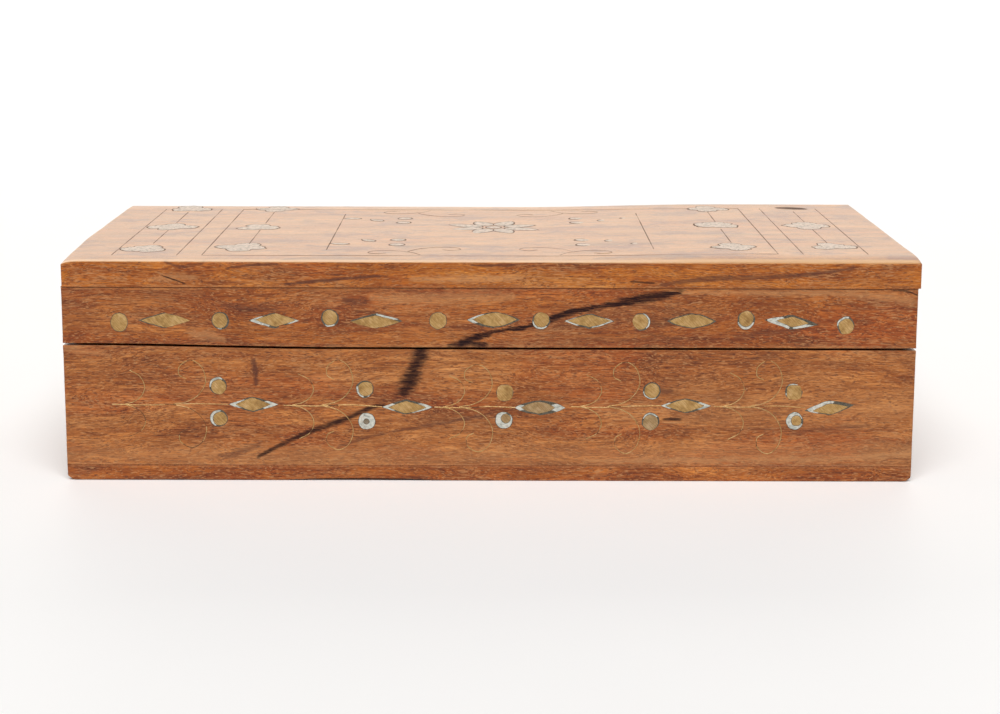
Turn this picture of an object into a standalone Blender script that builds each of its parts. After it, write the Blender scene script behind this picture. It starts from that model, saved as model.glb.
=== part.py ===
"""Inlaid wooden box: a glued board case with a hinged lid, brass inlay and two brass butt hinges.

Frame: metres, +Z up, the front faces -Y, and the origin is the middle of the underside.
"""

import math

import bmesh
import bpy

MM = 0.001

# The case
LENGTH = 255.0 * MM  # lid panel, left to right
DEPTH = 132.0 * MM  # lid panel, front to back
HEIGHT = 67.5 * MM
LID_PANEL = 8.6 * MM  # thickness of the lid's top panel
FLOOR_PANEL = 4.5 * MM
WALL = 9.0 * MM
PARTING = 41.0 * MM  # height of the line between the base and the lid
PARTING_GAP = 0.5 * MM
OVERHANG_X = 0.7 * MM  # the lid panel stands this far past the walls
OVERHANG_Y = 0.2 * MM
GAP = 0.3 * MM  # room for glue, or for play, between two touching pieces
ARRIS = 0.5 * MM  # rounding of an exposed edge
WORN_ARRIS = 1.2 * MM  # rounding of the lid panel's corners and upper edges, which hands have worn

# The hinges: five knuckles on each, three of them on the base leaf
HINGE_X = 76.0 * MM  # each hinge's middle, left and right of the box's middle
HINGE_LENGTH = 25.0 * MM
LEAF_WIDTH = 7.0 * MM  # from the pin's axis to the leaf's free edge
LEAF = 0.9 * MM  # thickness
LEAF_CLEARANCE = 0.4 * MM  # between the two leaves of a closed hinge
KNUCKLES = 5
KNUCKLE_RADIUS = 1.7 * MM
PIN_RADIUS = 0.75 * MM
PIN_PLAY = 0.1 * MM
PIN_HEAD_RADIUS = 1.2 * MM
PIN_HEAD = 0.4 * MM
PIN_DOME = [(0.0, 1.0), (0.6, 0.875), (1.0, 0.375)]  # a peened head, in shares of its radius and height
SCREW_X = 7.5 * MM  # each side of the hinge's middle
SCREW_Y = 4.4 * MM  # in front of the axis
SCREW_HEAD_RADIUS = 1.5 * MM
SCREW_SHANK_RADIUS = 0.75 * MM
SCREW_LENGTH = 7.0 * MM
SCREW_SLOT = 0.4 * MM
SCREW_RIM = 0.1 * MM  # thickness of the head at its edge
SCREW_POINT = 0.2  # the share of a screw's length that its point takes

# The lid swings back until the bevels on the two rear edges meet, just past this angle
LID_OPENS = 105.0
BEVEL_MARGIN = 2.0  # degrees between the stated limit and the wood meeting
BEVEL_START = 0.1 * MM  # the bevels start this far in front of the hinge's axis

# The inlay
INLAY = 1.5 * MM  # thickness of the brass and shell
DOT_RADIUS = 2.15 * MM
DOT_POCKET_RADIUS = 2.75 * MM
DOT_SHIFT = 0.3 * MM  # each brass dot sits this far off its pocket's middle
LID_DOT_TURN = 2.4  # radians from the way one dot is shifted to the way the next one is
BASE_DOT_TURN = 1.9
PAIR_TURN = 2.0  # radians between the ways the upper and the lower dot of a scroll are shifted
LOZENGE = (12.4 * MM, 3.9 * MM)  # width and height
LOZENGE_POCKET = (15.4 * MM, 4.9 * MM)
LOZENGE_SHIFT = 0.45 * MM
LOZENGE_BLUNT = (0.12, 0.93)  # where its blunt corners round off, in shares of half its size
WIRE = 0.4 * MM
WIRE_DEPTH = 1.1 * MM
WIRE_PLAY = 0.15 * MM
OFF_PLANE = 0.01 * MM  # keeps the faces of crossing wires out of one plane
ROSETTE_BOSS_RADIUS = 2.2 * MM
ROSETTE_CENTRE = (1.0 * MM, 9.5 * MM)  # on the lid's top, from its middle
STRAY = 0.1 * MM  # unit of the lists of how far hand work strayed from an even layout

# The lid's row of dots and lozenges
LID_ROW_HEIGHT = 48.8 * MM
LID_FIRST_DOT = -110.0 * MM
LID_PITCH = 30.8 * MM
LID_DOT_STRAYS = [(0, -6), (-4, -3), (10, 11), (21, -1), (23, 2), (7, 1), (12, 2), (0, -7)]
LID_LOZENGE_STRAYS = [(-12, 0), (-5, 0), (-1, 0), (29, 4), (14, 1), (2, 2), (-4, -1)]

# The base's row: five scrolls, each of a stem, two pairs of curls, two dots and a lozenge
STEM_HEIGHT = 23.2 * MM
SCROLL_FIRST_DOT = -81.1 * MM
SCROLL_PITCH = 43.0 * MM
SCROLL_DOT_RISE = 4.6 * MM
SCROLL_LOZENGE_X = 11.0 * MM  # from the dots to the lozenge
# For each scroll: across for its dots, up for its upper and its lower dot, across and up for its lozenge
SCROLL_STRAYS = [
    (0, 11, 8, -1, 2),
    (12, 3, -5, 7, -5),
    (-4, -4, 1, 2, -6),
    (2, -1, 2, -9, 1),
    (0, -4, 0, 1, -4),
]
FIRST_STEM = 31.6 * MM  # the first stem starts this far left of its dots
STEM_END = 1.0 * MM  # from a stem's end to a lozenge's tip
FIRST_SPRIG_X = 21.7 * MM  # from the first dots back to the outermost point of its small curls
SPRIG_X = 16.0 * MM
# Curls in millimetres, x from the dots or from the sprig's outermost point, z from the stem
CURL = [(-13.0, 0.1), (-9.2, 0.9), (-5.8, 3.0), (-3.6, 7.0), (-4.6, 11.6), (-7.8, 13.8), (-11.0, 12.0),
        (-11.2, 9.2), (-9.2, 8.0)]
SPRIG = [(-6.0, 0.1), (-3.4, 0.8), (-1.0, 2.6), (0.0, 5.4), (-1.3, 8.4), (-4.4, 10.2)]
STEPS_BETWEEN = 2  # straight pieces between two neighbouring points of a curl

HALF_X = LENGTH / 2 - OVERHANG_X
HALF_Y = DEPTH / 2 - OVERHANG_Y
BASE_RIM = PARTING - PARTING_GAP / 2
LID_RIM = PARTING + PARTING_GAP / 2
LID_WALL_TOP = HEIGHT - LID_PANEL
AXIS_INSET = KNUCKLE_RADIUS - OVERHANG_Y  # puts the knuckles level with the lid panel's back edge
AXIS_Y = HALF_Y - AXIS_INSET
PAST = 5.0 * MM  # how far a cutter runs past the face it cuts
ONE_POINT = 1e-6  # metres; corners closer together than this are one corner
CREASE = math.radians(30)  # an edge that turns more than this is drawn sharp

MATERIALS = {
    "sheesham": ((0.30, 0.115, 0.045, 1), 0.55, 0.0),
    "brass": ((0.62, 0.44, 0.18, 1), 0.35, 1.0),
    "hinge_brass": ((0.70, 0.50, 0.20, 1), 0.30, 1.0),
    "shell": ((0.80, 0.80, 0.74, 1), 0.25, 0.0),
}


def clear_scene():
    for obj in list(bpy.data.objects):
        bpy.data.objects.remove(obj, do_unlink=True)


def new_collection(name):
    collection = bpy.data.collections.new(name)
    bpy.context.scene.collection.children.link(collection)
    return collection


def material(name):
    if name in bpy.data.materials:
        return bpy.data.materials[name]
    colour, roughness, metallic = MATERIALS[name]
    made = bpy.data.materials.new(name)
    made.use_nodes = True
    shader = made.node_tree.nodes["Principled BSDF"]
    shader.inputs["Base Color"].default_value = colour
    shader.inputs["Roughness"].default_value = roughness
    shader.inputs["Metallic"].default_value = metallic
    return made


def keep(obj, name, stuff):
    """Makes obj a named part of the box in one material."""
    obj.name = name
    obj.data.name = name
    obj.data.materials.clear()
    obj.data.materials.append(material(stuff))
    into(obj, BOX)
    return obj


def into(obj, collection):
    for old in list(obj.users_collection):
        old.objects.unlink(obj)
    collection.objects.link(obj)


def helper(obj, name):
    """Makes obj a cutter, or a shape to join on: it isn't a part itself."""
    obj.name = name
    obj.hide_render = True
    obj.display_type = "WIRE"
    into(obj, CUTTERS)
    return obj


def boolean(target, others, operation="DIFFERENCE"):
    for other in others:
        modifier = target.modifiers.new(f"{operation.lower()} {other.name}", "BOOLEAN")
        modifier.operation = operation
        modifier.object = other


def block(low, high):
    """A plain box between two corners."""
    middle = [(a + b) / 2 for a, b in zip(low, high)]
    size = [b - a for a, b in zip(low, high)]
    bpy.ops.mesh.primitive_cube_add(size=1, location=middle)
    obj = bpy.context.object
    obj.scale = size
    bpy.ops.object.transform_apply(location=False, rotation=False, scale=True)
    return obj


def round_edges(obj, pairs, width=ARRIS):
    """Rounds the edges where two named faces meet, such as "-y+z" for the front face and the top."""
    axes = {"x": 0, "y": 1, "z": 2}
    wanted = [{(axes[p[1]], p[0] == "+"), (axes[p[3]], p[2] == "+")} for p in pairs.split()]
    mesh = bmesh.new()
    mesh.from_mesh(obj.data)
    edges = []
    for edge in mesh.edges:
        sides = set()
        for face in edge.link_faces:
            axis = max(range(3), key=lambda k: abs(face.normal[k]))
            sides.add((axis, face.normal[axis] > 0))
        if sides in wanted:
            edges.append(edge)
    bmesh.ops.bevel(mesh, geom=edges, offset=width, segments=2, profile=0.5, affect="EDGES")
    mesh.to_mesh(obj.data)
    mesh.free()


def cylinder(radius, low, high, axis="Z", sides=32, far_radius=None):
    """A cylinder or cone frustum along one axis, from low to high, where low and high differ on it only."""
    middle = [(a + b) / 2 for a, b in zip(low, high)]
    length = max(abs(b - a) for a, b in zip(low, high))
    turn = {"X": (0, math.pi / 2, 0), "Y": (math.pi / 2, 0, 0), "Z": (0, 0, 0)}[axis]
    top = radius if far_radius is None else far_radius
    bpy.ops.mesh.primitive_cone_add(
        vertices=sides, radius1=radius, radius2=top, depth=length, location=middle, rotation=turn
    )
    obj = bpy.context.object
    obj.data.shade_smooth()
    obj.data.set_sharp_from_angle(angle=CREASE)
    return obj


def flat_piece(outline, thickness):
    """A closed solid from a flat outline in X and Z. Its front face is at Y 0 and its back at +thickness."""
    curve = bpy.data.curves.new("outline", "CURVE")
    curve.dimensions = "2D"
    curve.fill_mode = "BOTH"
    curve.extrude = thickness / 2
    spline = curve.splines.new("POLY")
    spline.points.add(len(outline) - 1)
    for point, (x, z) in zip(spline.points, outline):
        point.co = (x, z, 0, 1)
    spline.use_cyclic_u = True
    drawn = bpy.data.objects.new("outline", curve)
    bpy.context.scene.collection.objects.link(drawn)
    graph = bpy.context.evaluated_depsgraph_get()
    made = bpy.data.meshes.new_from_object(drawn.evaluated_get(graph))
    bpy.data.objects.remove(drawn)
    mesh = bmesh.new()
    mesh.from_mesh(made)
    bmesh.ops.remove_doubles(mesh, verts=mesh.verts, dist=ONE_POINT)
    for vertex in mesh.verts:
        x, z, out = vertex.co
        vertex.co = (x, thickness / 2 - out, z)
    bmesh.ops.recalc_face_normals(mesh, faces=mesh.faces)
    mesh.to_mesh(made)
    mesh.free()
    obj = bpy.data.objects.new("flat_piece", made)
    bpy.context.scene.collection.objects.link(obj)
    return obj


def turned(profile, steps=16):
    """A solid of revolution about its own Z. The profile is (radius, height) from top to bottom."""
    made = bpy.data.meshes.new("turned")
    points = [(r, 0, z) for r, z in profile]
    made.from_pydata(points, [(i, i + 1) for i in range(len(points) - 1)], [])
    obj = bpy.data.objects.new("turned", made)
    bpy.context.scene.collection.objects.link(obj)
    screw = obj.modifiers.new("turn", "SCREW")
    screw.axis = "Z"
    screw.steps = steps
    screw.render_steps = steps
    screw.use_merge_vertices = True
    screw.merge_threshold = ONE_POINT
    return obj


def on_curve(a, b, c, d, t):
    """One coordinate of a smooth curve through a, b, c and d: a share t of the way from b to c."""
    return (2 * b + (c - a) * t + (2 * a - 5 * b + 4 * c - d) * t**2 + (3 * b - a - 3 * c + d) * t**3) / 2


def smooth_line(points):
    """More points on a smooth curve through the given ones."""
    ends = [[2 * a - b for a, b in zip(points[i], points[j])] for i, j in ((0, 1), (-1, -2))]
    padded = [ends[0], *points, ends[1]]
    line = []
    for before, start, end, after in zip(padded, padded[1:], padded[2:], padded[3:]):
        for step in range(STEPS_BETWEEN):
            t = step / STEPS_BETWEEN
            line.append([on_curve(*places, t) for places in zip(before, start, end, after)])
    return [*line, points[-1]]


def ribbon(line, width, depth, y):
    """A flat wire on edge: a strip along the line, depth deep from the plane Y = y, thickened to width."""
    mesh = bmesh.new()
    front = [mesh.verts.new((x, y, z)) for x, z in line]
    edges = [mesh.edges.new(pair) for pair in zip(front, front[1:])]
    grown = bmesh.ops.extrude_edge_only(mesh, edges=edges)["geom"]
    back = [part for part in grown if isinstance(part, bmesh.types.BMVert)]
    bmesh.ops.translate(mesh, verts=back, vec=(0, depth, 0))
    made = bpy.data.meshes.new("ribbon")
    mesh.to_mesh(made)
    mesh.free()
    obj = bpy.data.objects.new("ribbon", made)
    bpy.context.scene.collection.objects.link(obj)
    solid = obj.modifiers.new("width", "SOLIDIFY")
    solid.thickness = width
    solid.offset = 0
    return obj


def circle(radius, sides=20):
    return [
        (radius * math.cos(2 * math.pi * i / sides), radius * math.sin(2 * math.pi * i / sides))
        for i in range(sides)
    ]


def lozenge(size):
    """A lozenge whose two blunt corners are rounded off."""
    a, b = size[0] / 2, size[1] / 2
    x, z = LOZENGE_BLUNT[0] * a, LOZENGE_BLUNT[1] * b
    blunt = [(-x, z), (0, b), (x, z)]
    return [(a, 0), *reversed(blunt), (-a, 0), *[(x, -z) for x, z in blunt]]


def moved(obj, x, y, z):
    obj.location = (x, y, z)
    return obj


# ---------------------------------------------------------------- the boards


def long_wall(name, side, bottom, top, rounded):
    """A front (side -1) or back (side 1) board, the full length of the case."""
    outer, inner = side * HALF_Y, side * (HALF_Y - WALL)
    obj = block((-HALF_X, min(outer, inner), bottom), (HALF_X, max(outer, inner), top))
    face = "+y" if side > 0 else "-y"
    round_edges(obj, " ".join(face + other for other in ("-x", "+x", rounded)))
    return keep(obj, name, "sheesham")


def end_wall(name, side, bottom, top, rounded):
    """A left (side -1) or right (side 1) board, butted between the long walls."""
    outer, inner = side * HALF_X, side * (HALF_X - WALL)
    reach = HALF_Y - WALL - GAP
    obj = block((min(outer, inner), -reach, bottom), (max(outer, inner), reach, top))
    round_edges(obj, ("+x" if side > 0 else "-x") + rounded)
    return keep(obj, name, "sheesham")


def panel(name, half_x, half_y, bottom, top, worn):
    """A whole panel, its corners and upper edges rounded to worn and its lower edges to the usual arris."""
    obj = block((-half_x, -half_y, bottom), (half_x, half_y, top))
    round_edges(obj, "-x-y -x+y +x-y +x+y -x+z +x+z -y+z +y+z", worn)
    round_edges(obj, "-x-z +x-z -y-z +y-z")
    return keep(obj, name, "sheesham")


def case_boards():
    base_low = FLOOR_PANEL + GAP
    lid_high = LID_WALL_TOP - GAP
    boards = {
        "base_floor_panel": panel("base_floor_panel", HALF_X, HALF_Y, 0, FLOOR_PANEL, ARRIS),
        "lid_top_panel": panel("lid_top_panel", LENGTH / 2, DEPTH / 2, LID_WALL_TOP, HEIGHT, WORN_ARRIS),
    }
    for part, low, high, rim in (("base", base_low, BASE_RIM, "+z"), ("lid", LID_RIM, lid_high, "-z")):
        for place, side in (("front", -1), ("back", 1)):
            name = f"{part}_{place}_board"
            boards[name] = long_wall(name, side, low, high, rim)
        for place, side in (("left", -1), ("right", 1)):
            name = f"{part}_{place}_board"
            boards[name] = end_wall(name, side, low, high, rim)
    return boards


def rear_bevel(up):
    """Cuts the bevel off a rear edge at the parting line: the lid's when up is 1, the base's when -1."""
    corner = AXIS_INSET * math.tan(math.radians((LID_OPENS + BEVEL_MARGIN) / 2))
    start, end = (AXIS_Y - BEVEL_START, PARTING_GAP / 2), (HALF_Y, corner)
    run, rise = end[0] - start[0], end[1] - start[1]
    low = (start[0] - run, start[1] - rise)
    high = (end[0] + run, end[1] + rise)
    mesh = bmesh.new()
    section = [mesh.verts.new((-LENGTH, y, PARTING + up * z)) for y, z in (low, high, (high[0], low[1]))]
    face = mesh.faces.new(section)
    swept = bmesh.ops.extrude_face_region(mesh, geom=[face])["geom"]
    end_points = [part for part in swept if isinstance(part, bmesh.types.BMVert)]
    bmesh.ops.translate(mesh, verts=end_points, vec=(2 * LENGTH, 0, 0))
    bmesh.ops.recalc_face_normals(mesh, faces=mesh.faces)
    made = bpy.data.meshes.new("rear_bevel")
    mesh.to_mesh(made)
    mesh.free()
    obj = bpy.data.objects.new("rear_bevel", made)
    bpy.context.scene.collection.objects.link(obj)
    return helper(obj, f"rear_bevel_{'lid' if up > 0 else 'base'}")


# ---------------------------------------------------------------- the hinges


def leaf_recess(x, up, name):
    """What is cut from a back board for one leaf, the knuckles and the leaf's two screws."""
    half = HINGE_LENGTH / 2
    deep = LEAF_CLEARANCE / 2 + LEAF + GAP
    reach = KNUCKLE_RADIUS + GAP
    head_room = half + PIN_HEAD + 2 * GAP

    def level(z):
        return PARTING + up * z

    low, high = sorted((level(-PAST), level(deep)))
    cuts = [block((x - half - GAP, AXIS_Y - LEAF_WIDTH - GAP, low), (x + half + GAP, AXIS_Y, high))]
    low, high = sorted((level(-PAST), level(reach)))
    cuts.append(block((x - head_room, AXIS_Y - reach, low), (x + head_room, HALF_Y + PAST, high)))
    for side in (-1, 1):
        spot = (x + side * SCREW_X, AXIS_Y - SCREW_Y)
        low, high = sorted((level(0), level(SCREW_LENGTH + 2 * GAP)))
        cuts.append(cylinder(SCREW_SHANK_RADIUS + GAP, (*spot, low), (*spot, high), sides=16))
    return [helper(cut, f"{name}_recess_{i}") for i, cut in enumerate(cuts)]


def leaf(x, up, name):
    """One leaf with its share of the knuckles: the lid's when up is 1, the base's when it is -1."""
    half = HINGE_LENGTH / 2
    pitch = HINGE_LENGTH / KNUCKLES
    low, high = sorted(PARTING + up * z for z in (LEAF_CLEARANCE / 2, LEAF_CLEARANCE / 2 + LEAF))
    plate = block((x - half, AXIS_Y - LEAF_WIDTH, low), (x + half, AXIS_Y, high))
    keep(plate, name, "hinge_brass")
    ends = [(x + side * half, AXIS_Y, PARTING) for side in (-1, 1)]
    barrel = helper(cylinder(KNUCKLE_RADIUS, *ends, axis="X"), f"{name}_barrel")
    boolean(plate, [barrel], "UNION")
    cuts = []
    for i in range(0 if up > 0 else 1, KNUCKLES, 2):
        start = x - half + i * pitch - GAP / 2 - (PAST if i == 0 else 0)
        end = x - half + (i + 1) * pitch + GAP / 2 + (PAST if i == KNUCKLES - 1 else 0)
        places = [(place, AXIS_Y, PARTING) for place in (start, end)]
        cuts.append(cylinder(KNUCKLE_RADIUS + GAP, *places, axis="X"))
    beyond = [(x + side * (half + PAST), AXIS_Y, PARTING) for side in (-1, 1)]
    cuts.append(cylinder(PIN_RADIUS + PIN_PLAY, *beyond, axis="X", sides=24))
    for side in (-1, 1):
        cuts.append(screw_hole(x + side * SCREW_X, up))
    boolean(plate, [helper(cut, f"{name}_cut_{i}") for i, cut in enumerate(cuts)])
    plate.data.shade_smooth()
    plate.data.set_sharp_from_angle(angle=CREASE)
    return plate


def screw_hole(x, up):
    """A countersunk hole through a leaf."""
    slope = (SCREW_HEAD_RADIUS - SCREW_SHANK_RADIUS) / LEAF
    face = LEAF_CLEARANCE / 2
    spot = (x, AXIS_Y - SCREW_Y)
    wide = SCREW_HEAD_RADIUS + GAP / 2 + slope * GAP
    narrow = SCREW_SHANK_RADIUS + GAP / 2 - slope * GAP / 2
    bottom, top = (*spot, PARTING + up * (face - GAP)), (*spot, PARTING + up * (face + LEAF + GAP / 2))
    if up > 0:
        return cylinder(wide, bottom, top, sides=20, far_radius=narrow)
    return cylinder(narrow, top, bottom, sides=20, far_radius=wide)


def screw(x, up, name):
    """A countersunk slotted wood screw with a plain shank, its head level with the leaf's face."""
    r, shank, plain = SCREW_HEAD_RADIUS, SCREW_SHANK_RADIUS, (1 - SCREW_POINT) * SCREW_LENGTH
    profile = [(0, 0), (r, 0), (r, -SCREW_RIM), (shank, -LEAF), (shank, -plain), (0, -SCREW_LENGTH)]
    obj = keep(turned(profile), name, "hinge_brass")
    moved(obj, x, AXIS_Y - SCREW_Y, PARTING + up * LEAF_CLEARANCE / 2)
    if up > 0:
        obj.rotation_euler = (math.pi, 0, 0)
    half = SCREW_SLOT / 2
    top = PARTING + up * LEAF_CLEARANCE / 2
    low, high = sorted((top - up * PAST, top + up * SCREW_SLOT))
    slot = block((x - PAST, AXIS_Y - SCREW_Y - half, low), (x + PAST, AXIS_Y - SCREW_Y + half, high))
    boolean(obj, [helper(slot, f"{name}_slot")])
    return obj


def pin(x, name):
    """The hinge pin, a peened head at each end."""
    end = HINGE_LENGTH / 2 + GAP / 2
    half = [(r * PIN_HEAD_RADIUS, end + z * PIN_HEAD) for r, z in PIN_DOME]
    half += [(PIN_HEAD_RADIUS, end), (PIN_RADIUS, end)]
    obj = keep(turned(half + [(r, -z) for r, z in reversed(half)]), name, "hinge_brass")
    obj.rotation_euler = (0, math.pi / 2, 0)
    return moved(obj, x, AXIS_Y, PARTING)


def hinge(place, x, boards):
    pin(x, f"{place}_hinge_pin")
    for part, up in (("lid", 1), ("base", -1)):
        name = f"{place}_hinge_{part}_leaf"
        leaf(x, up, name)
        for i, side in enumerate((-1, 1), start=1):
            screw(x + side * SCREW_X, up, f"{place}_hinge_{part}_screw_{i}")
        boolean(boards[f"{part}_back_board"], leaf_recess(x, up, name))


# ---------------------------------------------------------------- the inlay


def inlay(name, outline, pocket, x, z, shift, board):
    """A brass piece let into a front board, a little off the middle of its pocket."""
    piece = flat_piece(outline, INLAY)
    moved(keep(piece, name, "brass"), x + shift[0], -HALF_Y, z + shift[1])
    hollow = flat_piece(pocket, INLAY + GAP + PAST)
    boolean(board, [helper(moved(hollow, x, -HALF_Y - PAST, z), f"{name}_pocket")])


def dot(name, x, z, turn, board):
    shift = (DOT_SHIFT * math.cos(turn), DOT_SHIFT * math.sin(turn))
    inlay(name, circle(DOT_RADIUS), circle(DOT_POCKET_RADIUS), x, z, shift, board)


def lozenge_inlay(name, x, z, way, board):
    inlay(name, lozenge(LOZENGE), lozenge(LOZENGE_POCKET), x, z, (way * LOZENGE_SHIFT, 0), board)


def lid_row(board):
    """Eight dots with seven lozenges between them, along the lid's front board."""
    for i, (dx, dz) in enumerate(LID_DOT_STRAYS):
        x = LID_FIRST_DOT + i * LID_PITCH + dx * STRAY
        dot(f"lid_front_dot_{i + 1}", x, LID_ROW_HEIGHT + dz * STRAY, LID_DOT_TURN * i, board)
    for i, (dx, dz) in enumerate(LID_LOZENGE_STRAYS):
        x = LID_FIRST_DOT + (i + 0.5) * LID_PITCH + dx * STRAY
        way = 1 if i % 2 else -1
        lozenge_inlay(f"lid_front_lozenge_{i + 1}", x, LID_ROW_HEIGHT + dz * STRAY, way, board)


def scroll_lines(dots_x, sprig_x, start, end):
    """The wires of one scroll as lines in X and Z: the stem from start to end, two curls and two sprigs."""
    lines = [[start, end]]
    slope = (end[1] - start[1]) / (end[0] - start[0])
    for points, x in ((CURL, dots_x), (SPRIG, sprig_x)):
        root = x + points[0][0] * MM
        stem_z = start[1] + (root - start[0]) * slope
        for up in (1, -1):
            lines.append([(x + px * MM, stem_z + up * pz * MM) for px, pz in smooth_line(points)])
    return lines


def joined_wires(lines, name):
    """The wires of one scroll as one body, each sunk a bit more than the last so no faces share a plane."""
    pieces = []
    for i, line in enumerate(lines):
        sunk = i * OFF_PLANE
        pieces.append(ribbon(line, WIRE, WIRE_DEPTH - 3 * sunk, -HALF_Y + sunk))
    stem, *others = pieces
    boolean(stem, [helper(other, f"{name}_wire_{i}") for i, other in enumerate(others)], "UNION")
    return stem


def groove(lines, name):
    """The groove for one scroll's wires, as a cutter that runs out past the board's face."""
    cutters = []
    for i, line in enumerate(lines):
        sunk = i * OFF_PLANE
        depth = WIRE_DEPTH + WIRE_PLAY + PAST - 3 * sunk
        cutter = ribbon(line, WIRE + 2 * WIRE_PLAY, depth, -HALF_Y - PAST + sunk)
        cutters.append(helper(cutter, f"{name}_groove_{i}"))
    return cutters


def base_row(board):
    """Five wire scrolls, each ending in two dots and a lozenge, along the base's front board."""
    start = (SCROLL_FIRST_DOT - FIRST_STEM, STEM_HEIGHT)
    reach = LOZENGE_POCKET[0] / 2 + STEM_END
    sprig_x = SCROLL_FIRST_DOT - FIRST_SPRIG_X
    for i, (across, up_upper, up_lower, lozenge_across, lozenge_up) in enumerate(SCROLL_STRAYS):
        number, turn = i + 1, BASE_DOT_TURN * i
        x = SCROLL_FIRST_DOT + i * SCROLL_PITCH + across * STRAY
        upper_z = STEM_HEIGHT + SCROLL_DOT_RISE + up_upper * STRAY
        lower_z = STEM_HEIGHT - SCROLL_DOT_RISE + up_lower * STRAY
        dot(f"base_front_upper_dot_{number}", x, upper_z, turn + PAIR_TURN / 2, board)
        dot(f"base_front_lower_dot_{number}", x, lower_z, turn - PAIR_TURN / 2, board)
        middle = (x + SCROLL_LOZENGE_X + lozenge_across * STRAY, STEM_HEIGHT + lozenge_up * STRAY)
        lozenge_inlay(f"base_front_lozenge_{number}", *middle, 1 if i % 2 else -1, board)
        lines = scroll_lines(x, sprig_x, start, (middle[0] - reach, middle[1]))
        name = f"base_front_wire_scroll_{number}"
        boolean(board, groove(lines, name))
        keep(joined_wires(lines, name), name, "brass")
        start = (middle[0] + reach, middle[1])
        sprig_x = x + SCROLL_PITCH - SPRIG_X


def rosette_boss(board):
    """The round shell boss in the middle of the rosette on the lid's top."""
    x, y = ROSETTE_CENTRE
    bottom = HEIGHT - INLAY
    boss = cylinder(ROSETTE_BOSS_RADIUS, (x, y, bottom), (x, y, HEIGHT), sides=24)
    keep(boss, "lid_top_rosette_boss", "shell")
    pocket = cylinder(ROSETTE_BOSS_RADIUS + GAP, (x, y, bottom - GAP), (x, y, HEIGHT + PAST), sides=24)
    boolean(board, [helper(pocket, "rosette_boss_pocket")])


clear_scene()
BOX = new_collection("inlaid_wooden_box")
CUTTERS = new_collection("cutters")
BOARDS = case_boards()
boolean(BOARDS["lid_back_board"], [rear_bevel(1)])
boolean(BOARDS["base_back_board"], [rear_bevel(-1)])
hinge("left", -HINGE_X, BOARDS)
hinge("right", HINGE_X, BOARDS)
lid_row(BOARDS["lid_front_board"])
base_row(BOARDS["base_front_board"])
rosette_boss(BOARDS["lid_top_panel"])
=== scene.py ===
"""The looks of the inlaid wooden box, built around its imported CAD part.

The frame is the CAD part's: metres, +X along the box, -Y out of its front, +Z up, origin under its middle.
"""

import math
import random

import bmesh
import bpy
from mathutils import Matrix, Vector, noise


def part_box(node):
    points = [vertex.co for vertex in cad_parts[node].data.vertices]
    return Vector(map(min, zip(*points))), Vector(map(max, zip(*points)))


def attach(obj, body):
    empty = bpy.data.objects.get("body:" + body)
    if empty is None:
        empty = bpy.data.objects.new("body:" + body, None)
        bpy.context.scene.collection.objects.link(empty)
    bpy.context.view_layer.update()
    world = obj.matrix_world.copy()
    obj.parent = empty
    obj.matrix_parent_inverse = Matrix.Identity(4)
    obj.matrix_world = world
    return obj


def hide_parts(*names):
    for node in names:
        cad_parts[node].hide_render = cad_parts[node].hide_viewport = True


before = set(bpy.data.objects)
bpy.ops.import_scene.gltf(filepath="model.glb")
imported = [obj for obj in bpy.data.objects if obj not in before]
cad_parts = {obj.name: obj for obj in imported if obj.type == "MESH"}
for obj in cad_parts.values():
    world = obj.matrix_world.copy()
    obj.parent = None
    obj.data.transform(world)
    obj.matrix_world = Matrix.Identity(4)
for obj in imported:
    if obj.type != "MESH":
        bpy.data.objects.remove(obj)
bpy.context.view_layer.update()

MM = 0.001
PER_MM = 1 / MM

LID_LOW, LID_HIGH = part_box("lid_top_panel")
LID_FRONT_LOW, LID_FRONT_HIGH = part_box("lid_front_board")
BASE_FRONT_LOW, BASE_FRONT_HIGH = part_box("base_front_board")
FLOOR_LOW, FLOOR_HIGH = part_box("base_floor_panel")
FRONT_Y = BASE_FRONT_LOW.y  # the plane of the base's and the lid's front
PARTING = (BASE_FRONT_HIGH.z + LID_FRONT_LOW.z) / 2
SURFACE = 0.1 * MM  # wood, worn down, lies this far inside the CAD surface
PROUD = 0.03 * MM  # inlay stands this far out of the wood
PLATE = 0.5 * MM  # the thickness of inlay
JOINT_INSET = 0.13 * MM  # the glue in a joint between boards lies this far inside the CAD surface
GLUE_LINE = 0.14 * MM  # the glue between a sliver of shell and what it lies against
TOP_GLUE_RIM = 0.5 * MM  # the glue around the shell in the lid's top
FRONT_EDGE_WORN = 0.5 * MM  # the front edge of the lid's top is about this far below the CAD's

random.seed(7)


# ---- materials


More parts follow.
